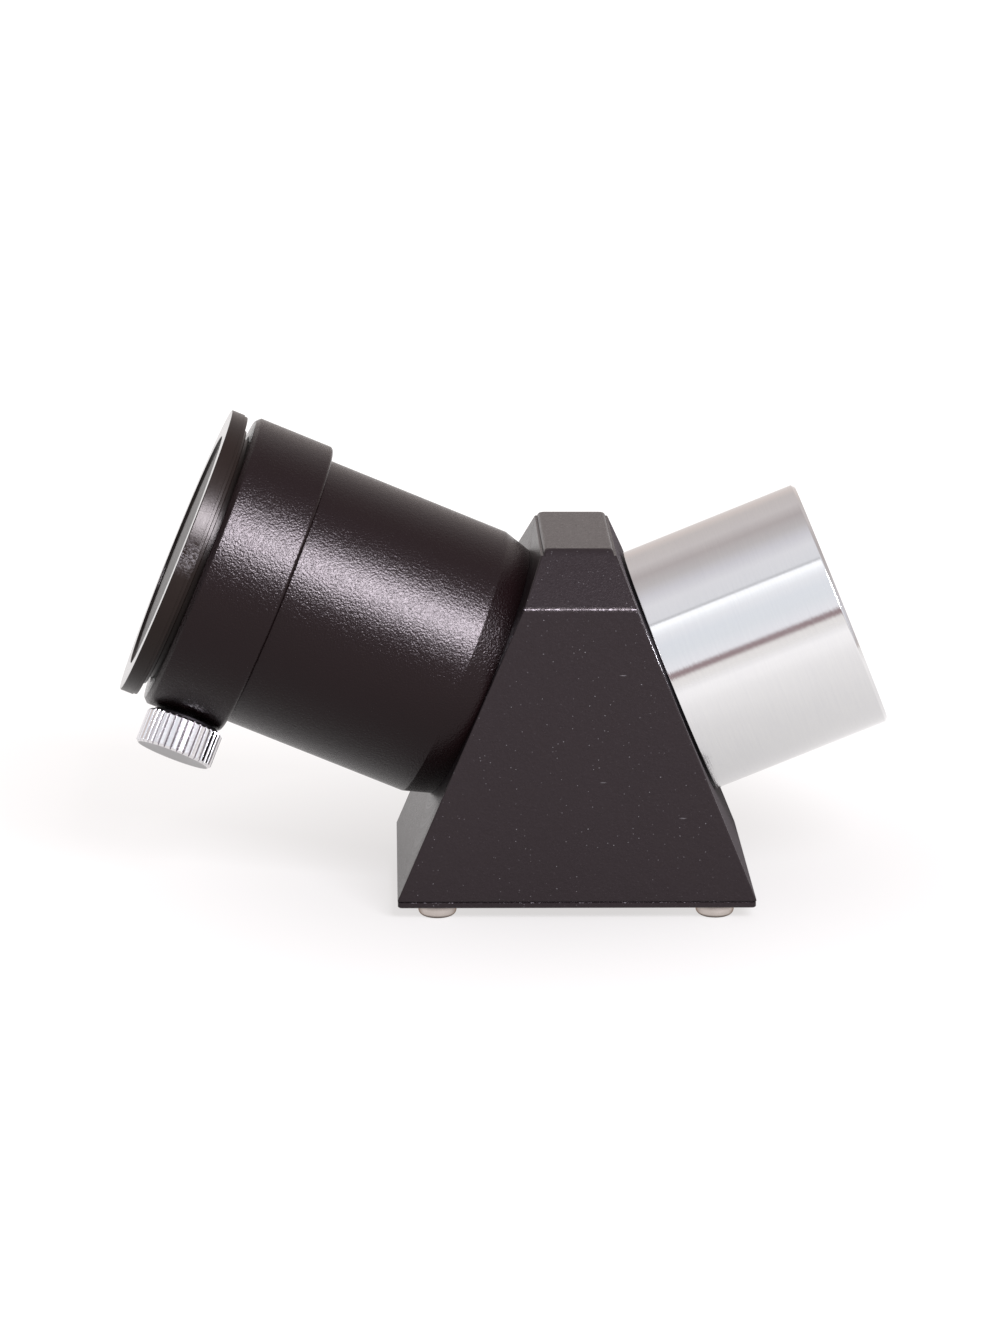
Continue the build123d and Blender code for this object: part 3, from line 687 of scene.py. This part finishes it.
def make_base_screws(material):
    """Four pan-head screws with rounded rims and cross recesses, as one group."""
    outline = rounded([
        (0, 0), (0, HEAD_R, HEAD_ROUND), (HEAD_HEIGHT, HEAD_R), (HEAD_HEIGHT, SCREW_R),
        (SCREW_TIP, SCREW_R, 0.3), (SCREW_TIP, 0),
    ], 8)
    bm = bmesh.new()
    for sx, sy in SCREW_SIDES:
        screw = lathe(outline, 64, closed=False)
        screw.transform(screw_place(sx, sy) @ Matrix.Rotation(-math.pi / 2, 4, "Y"))
        mesh = bpy.data.meshes.new("screw")
        screw.to_mesh(mesh)
        screw.free()
        bm.from_mesh(mesh)
        bpy.data.meshes.remove(mesh)
    screws = add_piece("base_screws_detailed", bm, UPRIGHT, "frame",
                       ["base_screws"], material)
    cut(screws, *[helper(recess_arm(sx, sy, turned))
                  for sx, sy in SCREW_SIDES for turned in (False, True)])


# --- eyepiece side: distances run along its axis from the crossing -------------------------------
BARREL_R = 17.36
CONE_R = 16.35                   # the barrel's root widens from this
CONE_END = 16.23
WEB_START = 17.3                 # the wall that the barrel's spigot grows from
STOP_RING_R = 15.45
EYEPIECE_STOP = 19.5
BORE_R = 15.95
COLLAR_SEAT_R = 17.05
COLLAR_START = 40.05
BARREL_END = 42.2
COLLAR_THREAD_R = 17.1
COLLAR_R = 18.97
COLLAR_END = 50.2
RING_GROOVE_R = 16.75            # the compression ring lies in it
RING_GROOVE_END = 46.7
THUMB_STATION = 44.5
THUMB_HOLE_R = 2.0
THUMB_TURN = math.radians(21.8)  # from the underside toward the front
EYE_UP = Vector((math.sin(TILT), 0, math.cos(TILT)))
THUMB_DIR = -math.cos(THUMB_TURN) * EYE_UP - math.sin(THUMB_TURN) * Vector((0, 1, 0))
THUMB = axis_frame(CROSSING + EYE_DIR * THUMB_STATION, THUMB_DIR, EYE_DIR)


def make_barrel(material):
    outline = rounded([
        (SPIGOT_END, LIGHT_R), (SPIGOT_END, SPIGOT_R, 0.2), (HOUSING_FACE, SPIGOT_R),
        (HOUSING_FACE + 0.02, CONE_R), (CONE_END, BARREL_R, 0.25),
        (COLLAR_START - 0.12, BARREL_R, 0.08), (COLLAR_START - 0.04, COLLAR_SEAT_R),
        (BARREL_END, COLLAR_SEAT_R), (BARREL_END, BORE_R), (EYEPIECE_STOP, BORE_R),
        (EYEPIECE_STOP, STOP_RING_R), (WEB_START, STOP_RING_R), (WEB_START, LIGHT_R),
    ])
    add_piece("eyepiece_barrel_detailed", lathe(outline), EYE, "frame",
              ["eyepiece_barrel"], material)


def make_collar(material):
    outline = rounded([
        (COLLAR_START, COLLAR_THREAD_R), (COLLAR_START, COLLAR_R, 0.45),
        (COLLAR_END - 0.55, COLLAR_R, 0.3), (COLLAR_END, COLLAR_R - 0.55, 0.12),
        (COLLAR_END, BORE_R + 0.45, 0.1), (COLLAR_END - 0.45, BORE_R, 0.1),
        (RING_GROOVE_END, BORE_R), (RING_GROOVE_END, RING_GROOVE_R),
        (BARREL_END, RING_GROOVE_R), (BARREL_END, COLLAR_THREAD_R),
    ])
    collar = add_piece("collar_detailed", lathe(outline, 256), EYE, "frame",
                       ["collar"], material)
    cut(collar, helper(cylinder(THUMB_HOLE_R, BORE_R - 1, COLLAR_R + 2, 48), THUMB))


# the knob's distances run outward along the thumbscrew
KNOB_START = 19.52
KNOB_END = 23.9
KNOB_R = 4.875
KNOB_CHAMFER = 0.28
CHAMFER_STEPS = 4
SHANK_HOLE_R = 1.95
SHANK_HOLE_END = 22.6
NECK_START = 19.14
NECK_R = 4.15
KNURLS = 36
KNURL_DEPTH = 0.28
POINTS_PER_KNURL = 12
FLANK_SLOPE = 2.4                # over 1, so that a tooth has a flat crest
NECK_SHADE = 1.0                 # from 0 for chrome to 1 for black, a painted shade
# the knob's end face is painted part way to black, a painted shade
END_FACE_SHADE = 0.62


def make_knob(material):
    """Chrome knob with V knurls that run out in its end chamfers, and a neck behind them painted
    black as shade.
    """
    chamfer = [(KNOB_CHAMFER * k / CHAMFER_STEPS, KNOB_R - KNOB_CHAMFER * (1 - k / CHAMFER_STEPS))
               for k in range(CHAMFER_STEPS + 1)]
    stations = [(KNOB_START + reach, limit) for reach, limit in chamfer]
    stations += [(KNOB_END - reach, limit) for reach, limit in reversed(chamfer)]
    angles = whole_turn(KNURLS * POINTS_PER_KNURL)
    phases = [(k % POINTS_PER_KNURL) / POINTS_PER_KNURL for k in range(len(angles))]
    teeth = [min(1.0, (1 - abs(2 * phase - 1)) * FLANK_SLOPE) for phase in phases]
    bm = bmesh.new()
    groove = bm.verts.layers.float.new("groove")
    shade = bm.verts.layers.float.new("shade")
    rings = []

    def add_plain(x, radius, dark=NECK_SHADE):
        """Adds a ring without knurls."""
        rings.append(ring_of(bm, x, [radius] * len(angles), angles))
        for vert in rings[-1]:
            vert[shade] = dark

    add_plain(SHANK_HOLE_END, SHANK_HOLE_R)
    add_plain(NECK_START, SHANK_HOLE_R)
    add_plain(NECK_START, NECK_R - 0.2)
    add_plain(NECK_START + 0.12, NECK_R)
    add_plain(KNOB_START, NECK_R)
    for x, limit in stations:
        radii = [min(limit, KNOB_R - KNURL_DEPTH * (1 - tooth)) for tooth in teeth]
        rings.append(ring_of(bm, x, radii, angles))
        for vert, tooth in zip(rings[-1], teeth):
            vert[groove] = 1 - tooth
    for radius in (KNOB_R - 0.42, KNOB_R - 0.9, SHANK_HOLE_R * 0.3):
        add_plain(KNOB_END, radius, END_FACE_SHADE)
    for first, second in zip(rings, rings[1:]):
        skin(bm, first, second)
    bm.faces.new(rings[0])
    bm.faces.new(rings[-1])
    add_piece("thumbscrew_knob_detailed", bm, THUMB, "thumbscrew",
              ["thumbscrew_knob"], material, sharp=24)


CAP_BACK = CAP_FRONT - 2.1       # rear of the flange
CAP_STEP_R = 16.8                # the step behind it
CAP_STEP = 0.5
PLUG_R = 15.8
PLUG_END = 45.2
PLUG_WALL = 1.2
DISH_FLOOR = CAP_FRONT - 0.38
PLUG_FLOOR = DISH_FLOOR - 1.5
GATE_ANGLE = math.radians(78)    # from the top toward the front
GATE_CUT = 0.12
GATE_REACH = 0.14                # half the angle in radians that its scuffs cover


def from_gate(angle):
    """Signed angle round the cap's axis from the middle of its gate mark."""
    return (angle - GATE_ANGLE + math.pi) % (2 * math.pi) - math.pi


def cut_gate(x, radius, angle):
    """Flattens a short stretch of the flange's rim, where the gate was trimmed."""
    if radius < CAP_R - 0.8 or x < CAP_BACK - 0.01:
        return radius
    flat = (CAP_R - GATE_CUT) / max(0.5, math.cos(from_gate(angle)))
    return min(radius, flat)


def make_dust_cap(material):
    """Flanged plug cap with a shallow dish, a step behind its flange and a cut gate mark."""
    outline = rounded([
        (DISH_FLOOR, 0), (DISH_FLOOR, CAP_DISH_R, 0.12), (CAP_FRONT, CAP_DISH_R, 0.08),
        (CAP_FRONT, CAP_R, 0.12), (CAP_BACK + 0.46, CAP_R), (CAP_BACK + 0.42, CAP_R - 0.13),
        (CAP_BACK, CAP_R - 0.15, 0.1), (CAP_BACK, CAP_STEP_R),
        (CAP_BACK - CAP_STEP, CAP_STEP_R, 0.1), (CAP_BACK - CAP_STEP, PLUG_R),
        (PLUG_END, PLUG_R, 0.4), (PLUG_END, PLUG_R - PLUG_WALL, 0.2),
        (PLUG_FLOOR, PLUG_R - PLUG_WALL, 0.4), (PLUG_FLOOR, 0),
    ], 4)
    bm = lathe(outline, 288, closed=False, shift=cut_gate)
    gate = bm.verts.layers.float.new("gate")
    for vert in bm.verts:
        away = abs(from_gate(math.atan2(vert.co.y, vert.co.z)))
        on_rim = vert.co.yz.length > CAP_R - 0.4
        vert[gate] = max(0.0, 1 - away / GATE_REACH) if on_rim else 0.0
    add_piece("dust_cap_detailed", bm, EYE, "dust_cap",
              ["dust_cap"], material)


# --- telescope side: distances run along its axis from the crossing ------------------------------
NOSE_R = 15.875                  # 1.25 inch across
NOSE_END = 35.97
NOSE_WEB_END = 17.0              # the wall that its spigot grows from
RELIEF_R = 15.45
RELIEF_WIDTH = 0.35
FILTER_THREAD_R = 14.25
FILTER_THREAD_START = NOSE_END - 0.7
FILTER_THREAD_END = 31.5
FILTER_PITCH = 0.6
FILTER_THREAD_DEPTH = 0.25
NOSE_BORE_R = 13.7
RIBS_START = 31.0
RIBS_END = 18.4
RIB_R = NOSE_BORE_R - 0.12
RIB_PITCH = 0.5
RIB_DEPTH = 0.16


def thread(start, end, radius, pitch, depth):
    """Outline points of a fine inside thread, from start to end."""
    turns = int(abs(end - start) / pitch)
    half = (end - start) / turns / 2
    points = []
    for k in range(turns):
        x = start + (end - start) * k / turns
        points += [(x, radius), (x + half, radius + depth)]
    return points + [(end, radius)]


def make_nosepiece(material):
    """Chrome tube: relief groove at its root painted black as shade, chamfer, filter thread and
    ribbed bore.
    """
    outline = rounded([
        (SPIGOT_END, LIGHT_R), (SPIGOT_END, SPIGOT_R, 0.2), (HOUSING_FACE, SPIGOT_R),
        (HOUSING_FACE, RELIEF_R), (HOUSING_FACE + RELIEF_WIDTH, RELIEF_R),
        (HOUSING_FACE + RELIEF_WIDTH, NOSE_R, 0.1), (NOSE_END - 0.4, NOSE_R, 0.2),
        (NOSE_END, NOSE_R - 0.4, 0.1), (NOSE_END, FILTER_THREAD_R + 0.5, 0.1),
        (NOSE_END - 0.45, FILTER_THREAD_R, 0.1),
    ])
    outline += thread(FILTER_THREAD_START, FILTER_THREAD_END, FILTER_THREAD_R,
                      FILTER_PITCH, FILTER_THREAD_DEPTH)
    outline += [(FILTER_THREAD_END - 0.1, NOSE_BORE_R)]
    outline += thread(RIBS_START, RIBS_END, RIB_R, RIB_PITCH, RIB_DEPTH)
    outline += [(NOSE_WEB_END, NOSE_BORE_R), (NOSE_WEB_END, LIGHT_R)]
    bm = lathe(outline, 256)
    # the relief groove is painted black, a painted shade
    shade = bm.verts.layers.float.new("shade")
    for vert in bm.verts:
        radius = math.hypot(vert.co.y, vert.co.z)
        if abs(vert.co.x - HOUSING_FACE) < 0.4 and radius < NOSE_R - 0.05:
            vert[shade] = 1.0
    add_piece("nosepiece_detailed", bm, NOSE, "frame", ["nosepiece"], material)


# --- studio --------------------------------------------------------------------------------------
CAMERA_YAW = math.radians(1.606)
CAMERA_ELEVATION = math.radians(14.276)
CAMERA_ROLL = math.radians(0.358)
CAMERA_DISTANCE = 540.99
CAMERA_TARGET = Vector((-9.16, 0, 27.77))
LENS_MM = 117.19
SENSOR_MM = 36
CLIP_START = 0.01                # in metres
FLOOR_SIZE = 4.0                 # in metres
FLOOR = (0.05, 0.049, 0.048), (0.055, 0.054, 0.053)
FLOOR_GLOW = (1.0, 0.975, 0.97, 1.0)

# the key softbox is to the right, in front and above, its long way along the tubes' reflections
KEY_AIM = (-28, 0, 34)
KEY_DIRECTION = (0.363, -0.742, 0.562)
KEY_ALONG = (0.19, 0.45, 0.46)
KEY_DISTANCE = 0.5               # in metres, as its sizes
KEY_WIDE = 0.26
KEY_HIGH = 0.17
KEY_RADIANCE = 80
KEY_TINT = (1.0, 1.0, 1.08)

# the tent's radiance, by degrees from the front horizon over the top to the rear horizon: a bright
# strip and a dark gap, bright panels with a thin dark seam, then a greyer top and back
TENT = [
    (0, (1.16, 1.12, 1.11)),
    (3.5, (1.14, 1.10, 1.09)),
    (5.4, (0.44, 0.33, 0.345)),
    (9.0, (0.44, 0.33, 0.345)),
    (11, (1.19, 1.18, 1.24)),
    (24, (1.07, 1.10, 1.16)),
    (34, (1.07, 1.10, 1.17)),
    (43, (1.18, 1.19, 1.25)),
    (48, (1.34, 1.36, 1.42)),
    (51, (1.54, 1.55, 1.60)),
    (55, (1.54, 1.55, 1.60)),
    (55.8, (0.72, 0.72, 0.76)),
    (57.2, (0.72, 0.72, 0.76)),
    (58, (1.03, 1.03, 1.08)),
    (75, (1.06, 1.05, 1.10)),
    (87, (0.90, 0.88, 0.94)),
    (100, (0.74, 0.70, 0.71)),
    (115, (0.65, 0.59, 0.59)),
    (131, (0.82, 0.76, 0.76)),
    (151, (0.77, 0.71, 0.70)),
    (163, (0.84, 0.75, 0.72)),
    (180, (0.88, 0.82, 0.80)),
]


def make_camera():
    level = math.cos(CAMERA_ELEVATION)
    forward = Vector((math.sin(CAMERA_YAW) * level, math.cos(CAMERA_YAW) * level,
                      -math.sin(CAMERA_ELEVATION)))
    right = forward.cross(Vector((0, 0, 1))).normalized()
    up = right.cross(forward)
    rolled_right = right * math.cos(CAMERA_ROLL) + up * math.sin(CAMERA_ROLL)
    rolled_up = up * math.cos(CAMERA_ROLL) - right * math.sin(CAMERA_ROLL)
    turn = Matrix((rolled_right, rolled_up, -forward)).transposed().to_4x4()
    place = Matrix.Translation((CAMERA_TARGET - forward * CAMERA_DISTANCE) * MM)
    data = bpy.data.cameras.new("camera")
    data.lens = LENS_MM
    data.sensor_width = SENSOR_MM
    data.clip_start = CLIP_START
    camera = linked("camera", data)
    camera.matrix_world = place @ turn
    bpy.context.scene.camera = camera


def make_key_softbox():
    """Rectangular softbox of a given radiance that faces its aim."""
    data = bpy.data.lights.new("key_softbox", "AREA")
    data.shape = "RECTANGLE"
    data.size = KEY_WIDE
    data.size_y = KEY_HIGH
    data.energy = KEY_RADIANCE * math.pi * KEY_WIDE * KEY_HIGH
    data.color = KEY_TINT
    back = Vector(KEY_DIRECTION).normalized()
    side = Vector(KEY_ALONG).cross(back).normalized()
    turn = Matrix((side, back.cross(side), back)).transposed().to_4x4()
    light = linked("key_softbox", data)
    light.matrix_world = Matrix.Translation(Vector(KEY_AIM) * MM + back * KEY_DISTANCE) @ turn


def make_floor():
    """Pale floor of a lit table, which glows from within.

    The glow grows with the distance from the object, which paints a soft shade round it, and dips
    in a band in front of it, a painted dark band that its front faces mirror.
    """
    s = Shader("studio_floor")
    place = s.world()
    away = s.vector_math("LENGTH", {0: place})["Value"]
    y = s.component(place, "Y")
    # the dimmer glow near the object is a painted shade round its base, and the dip a painted dark
    # band for the front faces to mirror
    glow = s.plus(s.remap(away, 15, 60, 0.68, 0.88), s.remap(away, 60, 220, 0.0, 0.20))
    dip = s.times(s.remap(y, -280, -120, 0.26, 0.0), s.remap(y, -600, -350))
    s.join(s.math("SUBTRACT", glow, dip), s.surface.inputs["Emission Strength"])
    material = s.finish(s.mix(s.noise(place, 0.01, 2), *FLOOR), 0.9,
                        Specular_IOR_Level=0.1, Emission_Color=FLOOR_GLOW)
    bm = bmesh.new()
    bmesh.ops.create_grid(bm, x_segments=2, y_segments=2, size=FLOOR_SIZE / 2)
    mesh = bpy.data.meshes.new("studio_floor")
    bm.to_mesh(mesh)
    bm.free()
    mesh.materials.append(material)
    floor = linked("studio_floor", mesh)


def make_tent():
    """White tent round the table, as the world.

    The objects mirror the stops of TENT. Behind them it is plain white.
    """
    world = bpy.data.worlds.new("tent")
    world.use_nodes = True
    bpy.context.scene.world = world
    t = Nodes(world.node_tree)
    direction = t.node("ShaderNodeTexCoord").outputs["Generated"]
    toward = t.times(t.component(direction, "Y"), -1)
    turn = t.math("ARCTAN2", t.component(direction, "Z"), toward)
    ramp = t.node("ShaderNodeValToRGB", {0: t.math("DIVIDE", turn, math.pi)})
    stops = ramp.color_ramp.elements
    while len(stops) < len(TENT):
        stops.new(0.5)
    for stop, (degrees, colour) in zip(stops, TENT):
        stop.position = degrees / 180
        stop.color = (*colour, 1)
    seen = t.node("ShaderNodeLightPath").outputs["Is Camera Ray"]
    background = t.tree.nodes["Background"]
    t.join(t.mix(seen, ramp.outputs[0], WHITE), background.inputs["Color"])
    background.inputs["Strength"].default_value = 1.0


def dress_carried(nickel):
    """Gives their materials to the CAD nodes that are shown as they are."""
    brass = plated("brass", *BRASS, 0.2, 0.34)
    bronze = plated("bronze", *BRONZE, 0.24, 0.38)
    nylon = matt("black_nylon", NYLON, (0.3, 4), (2.2, 4, 0.6), (0.42, 0.58), (0.04, 0.7))
    rubber = matt("rubber", RUBBER, (1.5, 4), (4.0, 3), (0.7, 0.85), (0.03, 0.7))
    flat_black = matt("matt_black_metal", MATT_BLACK, (0.4, 4), (5.0, 3, 0.6),
                      (0.55, 0.72), (0.02, 0.6))
    carried = [
        (optical_glass(), ["roof_prism"]),
        (nylon, ["prism_cradle"]),
        (rubber, ["clamp_pad"]),
        (cork(), ["cradle_pads"]),
        (bronze, ["clamp_strap"]),
        # thumbscrew_shank is matt black so that it paints the shade in the gap between knob and
        # collar
        (flat_black, ["barrel_lock_ring", "nosepiece_lock_ring", "eyepiece_stop_ring",
                      "nosepiece_baffle", "entrance_mask", "exit_mask", "thumbscrew_shank"]),
        (nickel, ["cradle_screws", "clamp_screws"]),
        (brass, ["compression_ring", "thumbscrew_tip"]),
    ]
    for material, names in carried:
        for name in names:
            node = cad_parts[name]
            node.data.materials.clear()
            node.data.materials.append(material)


def main():
    bpy.context.scene.view_settings.view_transform = "Standard"
    make_camera()
    paint = black_paint()
    anodised = black_anodised()
    nickel = plated("nickel_steel", *NICKEL, 0.06, 0.14, NICKEL_RIM)
    dress_carried(nickel)
    make_housing(paint)
    make_base_plate(paint)
    make_base_screws(nickel)
    make_barrel(anodised)
    make_collar(anodised)
    make_knob(chrome("knob_chrome", *KNOB_CHROME, 0.10))
    make_dust_cap(cap_plastic())
    make_nosepiece(chrome("chrome", *CHROME, 0.05))
    make_floor()
    make_tent()
    make_key_softbox()


main()
